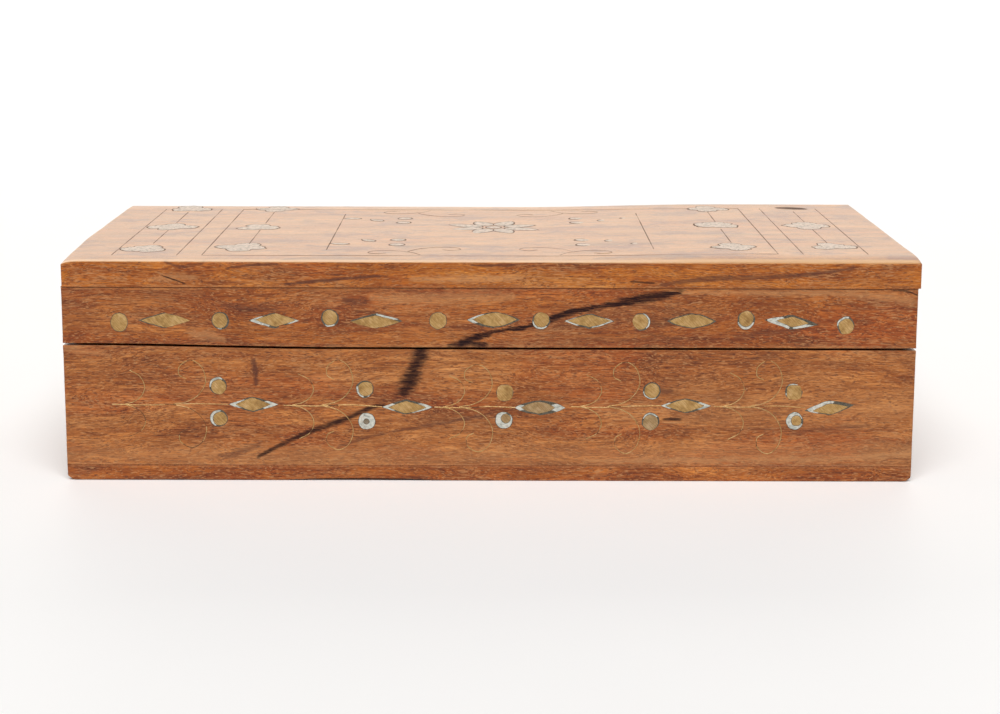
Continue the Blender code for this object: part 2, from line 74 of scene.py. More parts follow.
class Graph:
    """Builds one material's nodes. Textures are measured in millimetres."""

    def __init__(self, name):
        self.material = bpy.data.materials.new(name)
        self.material.use_nodes = True
        self.tree = self.material.node_tree
        self.shader = self.tree.nodes["Principled BSDF"]
        own = self.tree.nodes.new("ShaderNodeTexCoord").outputs
        self.place = self.vector("SCALE", own["Object"], scale=PER_MM)
        self.x, self.y, self.z = self.split(self.place)
        self.upward = self.split(own["Normal"])[2]

    def feed(self, socket, value):
        if isinstance(value, bpy.types.NodeSocket):
            self.tree.links.new(value, socket)
        else:
            socket.default_value = value

    def vector(self, operation, a, b=(0, 0, 0), scale=1.0):
        node = self.tree.nodes.new("ShaderNodeVectorMath")
        node.operation = operation
        self.feed(node.inputs[0], a)
        if operation == "SCALE":
            self.feed(node.inputs["Scale"], scale)
        else:
            self.feed(node.inputs[1], b)
        return node.outputs[0]

    def split(self, vector):
        node = self.tree.nodes.new("ShaderNodeSeparateXYZ")
        self.feed(node.inputs[0], vector)
        return node.outputs[0], node.outputs[1], node.outputs[2]

    def join(self, x, y, z):
        node = self.tree.nodes.new("ShaderNodeCombineXYZ")
        for socket, value in zip(node.inputs, (x, y, z)):
            self.feed(socket, value)
        return node.outputs[0]

    def math(self, operation, a, b=0.0):
        node = self.tree.nodes.new("ShaderNodeMath")
        node.operation = operation
        self.feed(node.inputs[0], a)
        self.feed(node.inputs[1], b)
        return node.outputs[0]

    def plus(self, a, b):
        return self.math("ADD", a, b)

    def minus(self, a, b):
        return self.math("SUBTRACT", a, b)

    def times(self, *factors):
        product = factors[0]
        for factor in factors[1:]:
            product = self.math("MULTIPLY", product, factor)
        return product

    def moved(self, vector, by):
        """The vector moved by another, which leads a texture to another stretch of its noise."""
        return self.vector("ADD", vector, by)

    def noise(self, vector, stretch=(1, 1, 1), detail=2.0, roughness=0.5, distortion=0.0):
        """Noise from 0 to 1 whose lumps are about one over stretch millimetres long."""
        node = self.tree.nodes.new("ShaderNodeTexNoise")
        self.feed(node.inputs["Vector"], self.vector("MULTIPLY", vector, stretch))
        node.inputs["Scale"].default_value = 1
        node.inputs["Detail"].default_value = detail
        node.inputs["Roughness"].default_value = roughness
        node.inputs["Distortion"].default_value = distortion
        return node.outputs["Fac"]

    def between(self, value, start, end, low=0.0, high=1.0):
        """Goes smoothly from low to high as the value goes from start to end."""
        node = self.tree.nodes.new("ShaderNodeMapRange")
        node.interpolation_type = "SMOOTHSTEP"
        self.feed(node.inputs["Value"], value)
        for name, number in (("From Min", start), ("From Max", end), ("To Min", low), ("To Max", high)):
            self.feed(node.inputs[name], number)
        return node.outputs["Result"]

    def ramp(self, value, stops):
        node = self.tree.nodes.new("ShaderNodeValToRGB")
        self.feed(node.inputs[0], value)
        elements = node.color_ramp.elements
        for position, colour in stops[1:-1]:
            elements.new(position).color = (*colour, 1)
        for element, (position, colour) in ((elements[0], stops[0]), (elements[-1], stops[-1])):
            element.position = position
            element.color = (*colour, 1)
        return node.outputs["Color"]

    def mix(self, amount, a, b, blend="MIX"):
        node = self.tree.nodes.new("ShaderNodeMix")
        node.data_type = "RGBA"
        node.blend_type = blend
        self.feed(node.inputs[0], amount)
        self.feed(node.inputs[6], a if isinstance(a, bpy.types.NodeSocket) else (*a, 1))
        self.feed(node.inputs[7], b if isinstance(b, bpy.types.NodeSocket) else (*b, 1))
        return node.outputs[2]

    def curve(self, value, points, low, high):
        """A smooth curve through points of (value, result), for values from low to high.

        Results go from 0 to 1.
        """
        node = self.tree.nodes.new("ShaderNodeFloatCurve")
        self.feed(node.inputs["Value"], self.math("DIVIDE", self.minus(value, low), high - low))
        line = node.mapping.curves[0]
        spots = [((at - low) / (high - low), result) for at, result in points]
        while len(line.points) < len(spots):
            line.points.new(0.5, 0.5)
        for point, spot in zip(line.points, spots):
            point.location = spot
        node.mapping.update()
        return node.outputs["Value"]

    def bump(self, height, depth):
        node = self.tree.nodes.new("ShaderNodeBump")
        node.inputs["Distance"].default_value = depth
        self.feed(node.inputs["Height"], height)
        self.feed(self.shader.inputs["Normal"], node.outputs["Normal"])

    def finish(self, colour, roughness, metallic=0.0, coat=0.0, specular=0.5):
        self.feed(self.shader.inputs["Base Color"], colour)
        self.feed(self.shader.inputs["Roughness"], roughness)
        self.shader.inputs["Metallic"].default_value = metallic
        self.feed(self.shader.inputs["Coat Weight"], coat)
        self.shader.inputs["Specular IOR Level"].default_value = specular
        return self.material


SPAN = 140.0  # millimetres each way that a mark's curve can cover
WIDEST = 10.0  # millimetres, the widest half width of a mark
MARK_RIM = 0.12  # millimetres that a mark's edge reaches past its half width

HEART = (0.012, 0.005, 0.007)  # dark heartwood
BROWN = (0.095, 0.026, 0.012)
PALE = (0.50, 0.235, 0.090)
# Pale, faded wood. On the lid's top it is also painted sheen, and a painted highlight along the front edge.
BLEACHED_AND_SHEEN = (0.66, 0.34, 0.115)
STAIN = (0.185, 0.062, 0.044)
TAN_WOOD = (0.36, 0.135, 0.038)
RED_WOOD = (0.33, 0.062, 0.008)


def tone_stops(*colours):
    """The stops of a ramp through four colours, from the wood's darkest to its lightest."""
    return list(zip((0.30, 0.44, 0.56, 0.72), colours))


RED_TONES = tone_stops(
    (0.125, 0.026, 0.006), (0.240, 0.052, 0.008), (0.345, 0.088, 0.011), (0.450, 0.140, 0.026)
)
ORANGE_TONES = tone_stops(
    (0.165, 0.034, 0.005), (0.330, 0.078, 0.007), (0.435, 0.122, 0.011), (0.520, 0.190, 0.034)
)
TAN_TONES = tone_stops(
    (0.145, 0.036, 0.009), (0.285, 0.076, 0.014), (0.385, 0.122, 0.025), (0.485, 0.180, 0.050)
)


def mark(graph, along, across, points, softness, ragged):
    """A mask for a streak in the wood. Its points are (along, across, half width) in millimetres.

    It is ragged millimetres rough, and its edge fades over softness times its width.
    """
    start, end = points[0][0], points[-1][0]
    middle = graph.curve(along, [(a, (c + SPAN) / (2 * SPAN)) for a, c, _ in points], start, end)
    middle = graph.minus(graph.times(middle, 2 * SPAN), SPAN)
    width = graph.curve(along, [(a, w / WIDEST) for a, _, w in points], start, end)
    width = graph.times(width, WIDEST)
    rough = graph.noise(graph.place, (0.28, 1.7, 1.7), detail=4, roughness=0.65)
    rough = graph.times(graph.minus(rough, 0.5), 3 * ragged)
    off = graph.math("ABSOLUTE", graph.minus(across, middle))
    off = graph.plus(off, rough)
    inside = graph.between(off, graph.plus(width, MARK_RIM), graph.times(width, 1 - softness))
    for edge, way in ((start, 1), (end, -1)):
        into = graph.plus(graph.times(graph.minus(along, edge), way), rough)
        inside = graph.times(inside, graph.between(into, -0.4, 0.8))
    return inside


def edge_wear(graph, low, high):
    """A mask that is 1 on the edges of a board that fills the box from low to high."""
    depths = []
    for value, a, b in zip((graph.x, graph.y, graph.z), low * PER_MM, high * PER_MM):
        depths.append(graph.math("MINIMUM", graph.minus(value, a), graph.minus(b, value)))
    first, second, third = depths
    nearest = graph.math("MINIMUM", first, second)
    farthest = graph.math("MAXIMUM", first, second)
    middle = graph.math("MAXIMUM", nearest, graph.math("MINIMUM", farthest, third))
    rough = graph.noise(graph.place, (0.25, 0.5, 0.5), detail=4, roughness=0.6)
    return graph.between(graph.plus(middle, graph.times(rough, 3.4)), 2.4, 1.2)


def shaded(graph, colour, noise, low, high):
    """The colour made darker and redder where the noise is low, and lighter and paler where it is high."""
    tints = [tuple(factor**power for power in (0.75, 1.05, 1.35)) for factor in (low, high)]
    return graph.mix(1.0, colour, graph.mix(graph.between(noise, 0.3, 0.7), *tints), "MULTIPLY")


DUST = 0.5  # how much old dust and fading there is in the wood's grain
WALL_COAT, TOP_COAT = 0.3, 0.66  # the polish on upright faces and on faces that look up


def wood(name, node, seed, along="x", tones=RED_TONES, marks=()):
    """Worn rosewood. Its grain runs along x or y, and marks are (colour, strength, mask maker)."""
    graph = Graph(name)
    place = graph.place if along == "x" else graph.join(graph.y, graph.x, graph.z)
    place = graph.moved(place, (31.7 * seed, 17.3 * seed, 11.9 * seed))
    wander = graph.noise(place, (0.018, 0.06, 0.06), detail=3)
    wander = graph.times(graph.minus(wander, 0.5), 14)
    grain = graph.moved(place, graph.join(0, wander, wander))

    bands = graph.noise(grain, (0.014, 0.16, 0.16), detail=7, roughness=0.66, distortion=0.5)
    colour = graph.ramp(bands, tones)
    redder = graph.between(graph.noise(place, (0.022, 0.08, 0.08), detail=3), 0.50, 0.66, 0.0, 0.55)
    colour = graph.mix(redder, colour, RED_WOOD)
    tan = graph.noise(grain, (0.018, 0.09, 0.09), detail=4, roughness=0.6)
    tan = graph.between(tan, 0.50, 0.64, 0.0, 0.6)
    colour = graph.mix(graph.times(tan, DUST), colour, TAN_WOOD)

    figure = graph.noise(place, (0.05, 0.16, 0.20), detail=4, roughness=0.55, distortion=0.4)
    colour = shaded(graph, colour, figure, 0.80, 1.18)
    streaks = graph.noise(grain, (0.045, 0.95, 0.95), detail=4, roughness=0.55)
    colour = shaded(graph, colour, streaks, 0.74, 1.2)
    fibres = graph.noise(grain, (0.13, 2.7, 2.7), detail=3, roughness=0.66)
    coarse = graph.between(graph.noise(place, (0.05, 0.12, 0.12), detail=3), 0.4, 0.6)
    soft, strong = (shaded(graph, colour, fibres, low, high) for low, high in ((0.60, 1.32), (0.42, 1.55)))
    colour = graph.mix(coarse, soft, strong)

    flecks = graph.noise(graph.moved(grain, (2.7, 4.1, 8.8)), (0.22, 2.4, 2.4), detail=3, roughness=0.62)
    dusty = graph.between(graph.noise(place, (0.035, 0.09, 0.12), detail=5, roughness=0.62), 0.46, 0.68)
    haze = graph.times(graph.between(flecks, 0.44, 0.66), graph.plus(dusty, 0.25))
    colour = graph.mix(graph.times(haze, DUST), colour, PALE)

    pores = graph.noise(graph.moved(grain, (5.1, 9.2, 3.3)), (0.55, 4.2, 4.2), detail=1, roughness=0.5)
    pores = graph.between(pores, 0.58, 0.68)
    colour = graph.mix(graph.times(pores, 0.7), colour, BROWN)
    specks = graph.noise(graph.moved(grain, (7.9, 1.4, 6.1)), (0.6, 4.0, 4.0), detail=1, roughness=0.5)
    colour = graph.mix(graph.between(specks, 0.57, 0.68, 0.0, 0.6), colour, PALE)

    grainy = graph.between(fibres, 0.40, 0.75, 1.0, 0.75)
    coat = graph.between(graph.upward, 0.3, 0.9, WALL_COAT, TOP_COAT)
    roughness = graph.between(fibres, 0.3, 0.7, 0.40, 0.50)
    for tint, strength, maker in marks:
        amount = graph.times(maker(graph), strength, grainy)
        colour = graph.mix(amount, colour, tint)
        if tint == HEART:  # it takes no polish
            coat = graph.times(coat, graph.minus(1.0, amount))
            roughness = graph.math("MAXIMUM", roughness, amount)

    worn = edge_wear(graph, *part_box(node))
    colour = graph.mix(graph.times(worn, 0.35), colour, PALE)

    relief = graph.minus(graph.times(fibres, 0.5), graph.times(pores, 0.6))
    graph.bump(relief, 0.09 * MM)
    graph.shader.inputs["Coat Roughness"].default_value = 0.32
    return graph.finish(colour, roughness, coat=coat, specular=0.15)


def inlay_brass(name, seed, dull):
    """Scratched brass that was filed level with the wood. A higher dull is greyer and darker."""
    graph = Graph(name)
    place = graph.moved(graph.place, (13.1 * seed, 7.7 * seed, 5.3 * seed))
    tarnish = graph.noise(place, (0.45, 0.45, 0.45), detail=4, roughness=0.6)
    colour = graph.ramp(tarnish, [
        (0.30, (0.35 - 0.10 * dull, 0.200 - 0.03 * dull, 0.070 + 0.02 * dull)),
        (0.50, (0.52 - 0.16 * dull, 0.315 - 0.06 * dull, 0.115 + 0.03 * dull)),
        (0.72, (0.64 - 0.18 * dull, 0.415 - 0.08 * dull, 0.185 + 0.04 * dull)),
    ])
    slanted = graph.moved(place, graph.join(0, 0, graph.x))
    filing = graph.noise(slanted, (0.5, 3.4, 3.4), detail=3, roughness=0.65)
    colour = shaded(graph, colour, filing, 0.76, 1.16)
    graph.bump(filing, 0.03 * MM)
    return graph.finish(colour, graph.between(filing, 0.3, 0.7, 0.55, 0.38), metallic=0.85)


def shell(name, tint, roughness, dirt=0.65):
    """Mother of pearl: soft bands of cool and warm white, with brown dirt rubbed into it."""
    graph = Graph(name)
    place = graph.moved(graph.place, (3.0, 8.0, 1.0))
    layers = graph.noise(place, (0.35, 0.9, 0.9), detail=4, roughness=0.5, distortion=1.5)
    nacre = graph.ramp(layers, [
        (0.28, (0.36, 0.38, 0.35)),
        (0.44, (0.58, 0.61, 0.56)),
        (0.56, (0.74, 0.75, 0.69)),
        (0.70, (0.66, 0.62, 0.54)),
    ])
    colour = graph.mix(1.0, nacre, tint, "MULTIPLY")
    grime = graph.between(graph.noise(place, (1.1, 1.1, 1.1), detail=5, roughness=0.7), 0.48, 0.68)
    colour = graph.mix(graph.times(grime, dirt), colour, (0.20, 0.165, 0.13))
    graph.bump(layers, 0.02 * MM)
    return graph.finish(colour, graph.between(grime, 0, 1, roughness, roughness + 0.25), coat=0.1)


def filler(name, tint, roughness=0.75):
    """Old glue and dust around the inlay and in the joints."""
    graph = Graph(name)
    lumps = graph.noise(graph.place, (1.6, 1.6, 1.6), detail=4, roughness=0.65)
    dark = tuple(0.4 * part for part in tint)
    colour = graph.ramp(lumps, [(0.3, dark), (0.5, tint), (0.75, tuple(1.5 * part for part in tint))])
    graph.bump(lumps, 0.05 * MM)
    return graph.finish(colour, graph.between(lumps, 0.3, 0.7, roughness, roughness + 0.15), specular=0.1)


def paint(obj, material):
    obj.data.materials.clear()
    obj.data.materials.append(material)
    return obj


# ---- boards


def eased(value):
    """A share that goes smoothly from 0 to 1, and stays there."""
    value = min(max(value, 0.0), 1.0)
    return value * value * (3 - 2 * value)


def fading(distance, length):
    """1 at no distance, falling evenly to 0 over the length."""
    return max(0.0, 1 - distance / length)


TOP_SAG = 0.8  # millimetres worn off the lid's top, but not at its right end
FULL_FROM, FULL_TO = 10 * MM, 80 * MM  # between these x the top rises to its full height
TOP_MARGIN = 10 * MM  # along its front and back the top is worn down further


def top_dip(x, y):
    """How far the lid's worn top lies below the CAD panel's at a place on it."""
    full = eased((x - FULL_FROM) / (FULL_TO - FULL_FROM))
    front = fading(y - LID_LOW.y, TOP_MARGIN) ** 2
    back = fading(LID_HIGH.y - y, TOP_MARGIN) ** 2
    wave = noise.noise(Vector((x, y, 0)) * 22)
    worn = TOP_SAG * (1 - full) + (0.15 + 0.85 * full) * front + 0.35 * (1 - full) * back
    return SURFACE + (worn + 0.05 * (1 + wave)) * MM


def uneven(co, normal):
    """A point moved into the board by hand-planed unevenness."""
    slow = noise.noise(Vector((co.x * 25, co.y * 60, co.z * 60)))
    quick = noise.noise(co * 400)
    return co - normal * (SURFACE + (0.025 * slow + 0.015 * quick) * MM)


CORNER_BACK, CORNER_DOWN = 1.0 * MM, 0.9 * MM  # worn off the lid's front left corner


def lid_panel_shape(co, normal):
    """The lid panel: its top is worn down, and its front left corner is worn back."""
    co = uneven(co, Vector((normal.x, normal.y, 0)))
    height = max(0.0, (co.z - LID_LOW.z) / (LID_HIGH.z - LID_LOW.z))
    co.z -= top_dip(co.x, co.y) * height
    corner = fading(co.x - LID_LOW.x, 5 * MM) * fading(co.y - LID_LOW.y, 50 * MM)
    co.x += CORNER_BACK * corner
    co.z -= CORNER_DOWN * corner**2 * height
    return co


HOLLOW_X, HOLLOW_REACH, HOLLOW_DEPTH = -38 * MM, 20 * MM, 0.55 * MM  # in the floor's lower front edge
END_ROUNDING = 1.5 * MM  # worn off the floor's lower ends


def floor_shape(co, normal):
    """The floor panel: its lower edge is worn hollow left of the front's middle, and round at both ends."""
    depth = fading(co.z - FLOOR_LOW.z, FLOOR_HIGH.z - FLOOR_LOW.z)
    co = uneven(co, Vector((normal.x, normal.y, 0)))
    left = min(1.0, max(0.0, -co.x / (20 * MM)))
    hollow = 0.1 * MM * left + HOLLOW_DEPTH * math.exp(-(((co.x - HOLLOW_X) / HOLLOW_REACH) ** 4))
    hollow *= fading(co.y - FLOOR_LOW.y, 12 * MM)
    end = fading(FLOOR_HIGH.x - abs(co.x), 2.6 * MM)
    co.z += (hollow + END_ROUNDING * end**2) * depth
    return co


BEND_RISE, BEND_FALL = 1.05 * MM, 0.5 * MM  # of the parting line, at its left end and all along
BEND_X, BEND_REACH = -45 * MM, 75 * MM  # it begins to rise here, and has risen this far to the left


def parting_bend(co):
    """How far the line between the base and the lid lies off its level at a place along the front."""
    rise = BEND_RISE * eased((BEND_X - co.x) / BEND_REACH) - BEND_FALL
    return Vector((0, 0, rise * fading(abs(co.z - PARTING), 9 * MM) * fading(co.y - FRONT_Y, 100 * MM)))


def wall_shape(co, normal):
    """A wall: uneven, and its edge at the parting line follows the bend."""
    return uneven(co, normal) + parting_bend(co)


def round_edges(co, low, high, joints, radius):
    """A point of the box from low to high, moved onto its rounded edges. Faces in joints keep sharp edges."""
    core = []
    for axis in range(3):
        start = low[axis] + (0 if (axis, -1) in joints else radius)
        end = high[axis] - (0 if (axis, 1) in joints else radius)
        core.append(min(max(co[axis], start), end))
    off = co - Vector(core)
    if off.length == 0:
        return co
    return Vector(core) + off * (max(abs(part) for part in off) / off.length)


ARRIS_CUTS = (0.12 * MM, 0.3 * MM, 0.6 * MM, 1.0 * MM, 1.6 * MM)
CUT_STEP = 3.0 * MM


def cut_places(start, end):
    """Where to cut a board along one axis: close together at its edges, then every step or so."""
    count = max(1, round((end - start) / CUT_STEP))
    middle = [start + (end - start) * i / count for i in range(1, count)]
    edges = [start + cut for cut in ARRIS_CUTS] + [end - cut for cut in ARRIS_CUTS]
    inside = [place for place in middle if start + 2 * MM < place < end - 2 * MM]
    return inside + [place for place in edges if start < place < end]


def board(node, body, material, joints, shape=wall_shape, radius=0.45):
    """A board with soft, hand-worn edges in place of a plain CAD board. radius is in millimetres.

    joints are the faces glued to other boards, as (axis, side). The edges are sharper at the parting line.
    """
    low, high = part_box(node)
    mesh = bmesh.new()
    add_bar(mesh, low, high)
    for axis in range(3):
        normal = Vector([float(axis == k) for k in range(3)])
        for cut in cut_places(low[axis], high[axis]):
            parts = mesh.verts[:] + mesh.edges[:] + mesh.faces[:]
            bmesh.ops.bisect_plane(mesh, geom=parts, plane_co=normal * cut, plane_no=normal)
    for vertex in mesh.verts:
        wear = 1 + 0.5 * noise.noise(vertex.co * 90) + 0.7 * max(0.0, noise.noise(vertex.co * 260) - 0.15)
        wear *= 0.4 + 0.6 * eased(abs(vertex.co.z - PARTING) / (3 * MM))
        vertex.co = round_edges(vertex.co, low, high, joints, radius * wear * MM)
    mesh.normal_update()
    for vertex, co in [(vertex, shape(vertex.co.copy(), vertex.normal.copy())) for vertex in mesh.verts]:
        vertex.co = co
    obj = finish_mesh(mesh, f"{node}_wood", body, material)
    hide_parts(node)
    return obj


def new_object(name, data):
    obj = bpy.data.objects.new(name, data)
    bpy.context.scene.collection.objects.link(obj)
    return obj


def finish_mesh(mesh, name, body, material, sharp=35):
    """Turns a bmesh into an object that rides on a body."""
    bmesh.ops.recalc_face_normals(mesh, faces=mesh.faces)
    data = bpy.data.meshes.new(name)
    mesh.to_mesh(data)
    mesh.free()
    data.shade_smooth()
    data.set_sharp_from_angle(angle=math.radians(sharp))
    obj = paint(new_object(name, data), material)
    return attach(obj, body)


def add_bar(mesh, low, high):
    """Adds a plain bar from one corner to the opposite one to a bmesh."""
    place = Matrix.Translation((low + high) / 2) @ Matrix.Diagonal((*(high - low), 1))
    bmesh.ops.create_cube(mesh, size=1, matrix=place)


# ---- inlay shapes


def toward(angle):
    return Vector((math.cos(angle), math.sin(angle)))


def waver(angle, pace, seed):
    """Noise around an outline, so that it looks cut by hand."""
    return noise.noise(Vector((*(pace * toward(angle)), seed)))


def rounded(across, up, power, turns=48, ripple=0.0, seed=0.0):
    """A closed outline around the origin: power 2 is an ellipse, 1 a lozenge and 3 nearly a box."""
    points = []
    for i in range(turns):
        angle = 2 * math.pi * i / turns
        c, s = abs(math.cos(angle)) / across, abs(math.sin(angle)) / up
        radius = (c**power + s**power) ** (-1 / power)
        radius *= 1 + ripple * (waver(angle, 1.5, seed) + 0.5 * waver(angle, 4, -seed))
        points.append(radius * toward(angle))
    return points


def turned_and_moved(points, degrees, shift):
    turn = Matrix.Rotation(math.radians(degrees), 2)
    return [turn @ point + Vector(shift) for point in points]


def reach(points, angle):
    """How far the outline lies from the origin in one direction. The origin is inside it."""
    way = toward(angle)
    side = Vector((-way.y, way.x))
    best = 0.0
    for a, b in zip(points, points[1:] + points[:1]):
        before, after = side.dot(a), side.dot(b)
        if (before < 0) != (after < 0):
            crossing = a.lerp(b, before / (before - after))
            best = max(best, way.dot(crossing))
    return best


def sliver(pocket, brass, start, end, rim, steps=22):
    """The outline of what lies between brass and the edge of its pocket, from one angle to another."""
    outer, inner = [], []
    for i in range(steps + 1):
        angle = math.radians(start + (end - start) * i / steps)
        way = toward(angle)
        far = reach(pocket, angle) - rim
        near = reach(brass, angle) + rim
        if far - near > 0.08 * MM:
            outer.append(way * far)
            inner.append(way * near)
    return outer + inner[::-1] if len(outer) > 2 else []


def add_plate(mesh, outline, place):
    """Adds a flat piece, its face at the place's own z = 0, to a bmesh."""
    face = mesh.faces.new([mesh.verts.new(place @ Vector((p.x, p.y, 0))) for p in outline])
    extruded = bmesh.ops.extrude_face_region(mesh, geom=[face])["geom"]
    inner = [part for part in extruded if isinstance(part, bmesh.types.BMVert)]
    out = place.to_3x3() @ Vector((0, 0, 1))
    bmesh.ops.translate(mesh, verts=inner, vec=-PLATE * out)


def on_front(x, z, proud):
    """The place of an inlay on the box's front, facing -Y."""
    return Matrix.Translation((x, FRONT_Y + SURFACE - proud, z)) @ Matrix.Rotation(math.pi / 2, 4, "X")


def on_top(x, y, proud, degrees=0.0):
    """The place of an inlay on the lid, facing up."""
    height = LID_HIGH.z - top_dip(x, y) + proud
    return Matrix.Translation((x, y, height)) @ Matrix.Rotation(math.radians(degrees), 4, "Z")


class Inlay:
    """Brass in a pocket that is a little too big for it. Lengths are in millimetres and angles in degrees.

    pocket and brass are (across, up, power, lean), and shift moves the brass. shells are the stretches of
    the gap that hold shell, as (start, end) anticlockwise from the right.
    """

    def __init__(self, pocket, brass, shift=(0, 0), shells=(), metal="bright"):
        self.pocket, self.brass, self.shift = pocket, brass, shift
        self.shells, self.metal = shells, metal

    def outlines(self, seed):
        shapes = []
        for (across, up, power, lean), shift in ((self.pocket, (0, 0)), (self.brass, self.shift)):
            line = rounded(across / 2 * MM, up / 2 * MM, power, ripple=0.08, seed=seed)
            shapes.append(turned_and_moved(line, lean, (shift[0] * MM, shift[1] * MM)))
        return shapes


def dot(shift=(0, 0), shells=(), pocket=5.3, brass=4.5, power=2.0, tall=1.0, metal="bright"):
    return Inlay((pocket, pocket * tall, 2.0, 0), (brass, brass * tall, power, 0), shift, shells, metal)


def lozenge(
    shift=(0, 0), shells=(), brass=(13.6, 3.9), pocket=(15.2, 4.6), power=1.12, lean=0, metal="bright"
):
    return Inlay((*pocket, power, lean), (*brass, power, lean), shift, shells, metal)


LID_DOTS = [
    dot(pocket=5.2, brass=4.9, tall=1.12),
    dot((-0.15, 0.1), [(250, 280)], brass=4.5),
    dot((0.0, 0.2), [(235, 305)], brass=4.4),
    dot(pocket=5.2, brass=4.9),
    dot((0.1, 0.35), [(185, 315)], brass=4.5),
    dot((-0.35, 0.0), [(-55, 85)], brass=4.6),
    dot((0.0, 0.45), [(195, 345)], brass=4.3, tall=1.06),
    dot((0.2, -0.35), [(70, 185)], brass=4.5),
]
LID_LOZENGES = [
    lozenge((0.4, 0.0), brass=(14.4, 4.2)),
    lozenge((0.5, 0.2), [(160, 228), (-12, 12)], brass=(12.0, 3.9)),
    lozenge((-0.4, -0.3), [(4, 92)], brass=(14.0, 3.8)),
    lozenge((0.4, 0.1), [(150, 190)], brass=(13.4, 4.2), pocket=(16.4, 4.8), power=1.3),
    lozenge((0.0, 0.1), [(165, 200), (-70, 10)], brass=(13.2, 3.7)),
    lozenge(brass=(13.6, 4.0), power=1.3),
    lozenge((0.4, 0.1), [(150, 250), (-75, -8)], brass=(9.2, 3.0), pocket=(15.6, 4.4), lean=-5),
]
BASE_UPPER_DOTS = [
    dot((0.2, -0.4), [(55, 190)], brass=4.4),
    dot((0.25, 0.1), [(160, 260), (290, 325)], brass=4.2, power=2.4),
    dot(pocket=5.2, brass=4.8, power=2.8),
    dot((0.05, 0.1), [(185, 300)], brass=4.4),
    dot((0.15, -0.15), [(50, 130), (190, 250)], brass=4.4, power=3.2),
]
BASE_LOWER_DOTS = [
    dot((0.4, -0.15), [(75, 250)], brass=4.1),
    dot((-0.1, -0.1), [(0, 360)], brass=1.7, power=1.5, metal="grey"),
    dot((0.6, 0.5), [(70, 400)], brass=2.9, power=1.6, metal="dull"),
    dot((0.0, -0.35), [(35, 160)], brass=4.5, metal="dull"),
    dot((0.5, 0.1), [(20, 340)], brass=2.9, power=2.6),
]
BASE_LOZENGES = [
    lozenge((-0.1, 0.0), [(150, 196), (-20, 14)], brass=(10.4, 4.0)),
    lozenge((0.0, -0.1), [(166, 196), (-48, 16)], brass=(11.2, 3.7)),
    lozenge((-0.6, 0.0), [(-14, 14), (172, 188)], brass=(9.8, 3.6), power=1.35, metal="dull"),
    lozenge((-0.3, 0.0), [(-16, 14), (170, 190)], brass=(11.4, 4.0)),
    lozenge((0.3, -0.35), [(55, 205)], brass=(10.8, 3.3), lean=7),
]


def set_row(nodes, inlays, body, seed):
    """Sets one row of inlays in a front board. The glue and the shell of a row are one piece each."""
    glue, pearl = bmesh.new(), bmesh.new()
    for number, (node, inlay) in enumerate(zip(nodes, inlays)):
        low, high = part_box(node)
        x, z = (low.x + high.x) / 2, (low.z + high.z) / 2
        pocket, brass = inlay.outlines(seed + 3.7 * number)
        add_plate(glue, pocket, on_front(x, z, PROUD / 2))
        for start, end in inlay.shells:
            outline = sliver(pocket, brass, start, end, GLUE_LINE)
            if outline:
                add_plate(pearl, outline, on_front(x, z, PROUD))
        metal = bmesh.new()
        add_plate(metal, brass, on_front(x, z, 1.4 * PROUD))
        material = BRASSES[inlay.metal] if inlay.metal != "bright" else BRIGHT_BRASSES[number % 3]
        piece = finish_mesh(metal, f"{node}_brass", body, material)
        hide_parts(node)
    row = nodes[0].rsplit("_", 1)[0]
    finish_mesh(glue, f"{row}_glue", body, GLUE)
    if pearl.faces:
        finish_mesh(pearl, f"{row}_shell", body, SHELL)
    else:
        pearl.free()


# ---- wire


def smooth_line(points, steps=8):
    """More points on a smooth curve through the given ones."""
    padded = [2 * points[0] - points[1], *points, 2 * points[-1] - points[-2]]
    line = []
    for a, b, c, d in zip(padded, padded[1:], padded[2:], padded[3:]):
        for step in range(steps):
            t = step / steps
            second = (2 * a - 5 * b + 4 * c - d) * t**2
            third = (3 * b - a - 3 * c + d) * t**3
            line.append(0.5 * (2 * b + (c - a) * t + second + third))
    return [*line, points[-1]]


def wires(name, lines, body, out, material, radius, sunk, worn):
    """Round wires along lines on a surface that faces out, as one piece, their middles sunk under it.

    Here and there they lie deeper, by up to worn millimetres, and their thickness varies by that share.
    """
    curve = bpy.data.curves.new(name, "CURVE")
    curve.dimensions = "3D"
    curve.bevel_depth = radius
    curve.bevel_resolution = 2
    curve.use_fill_caps = True
    for number, line in enumerate(lines):
        spline = curve.splines.new("POLY")
        spline.points.add(len(line) - 1)
        for i, (point, at) in enumerate(zip(spline.points, line)):
            wear = noise.noise(Vector((0.17 * i, 3.1 * number + 0.5, 0.5)))
            point.co = (*(at - out * (sunk + max(0.0, wear) * worn * MM)), 1)
            point.radius = 1 + worn * wear
    obj = new_object(name, curve)
    bpy.context.view_layer.update()
    data = bpy.data.meshes.new_from_object(obj.evaluated_get(bpy.context.evaluated_depsgraph_get()))
    bpy.data.objects.remove(obj)
    mesh = bmesh.new()
    mesh.from_mesh(data)
    bpy.data.meshes.remove(data)
    bmesh.ops.remove_doubles(mesh, verts=mesh.verts, dist=1e-7)
    return finish_mesh(mesh, name, body, material, sharp=60)


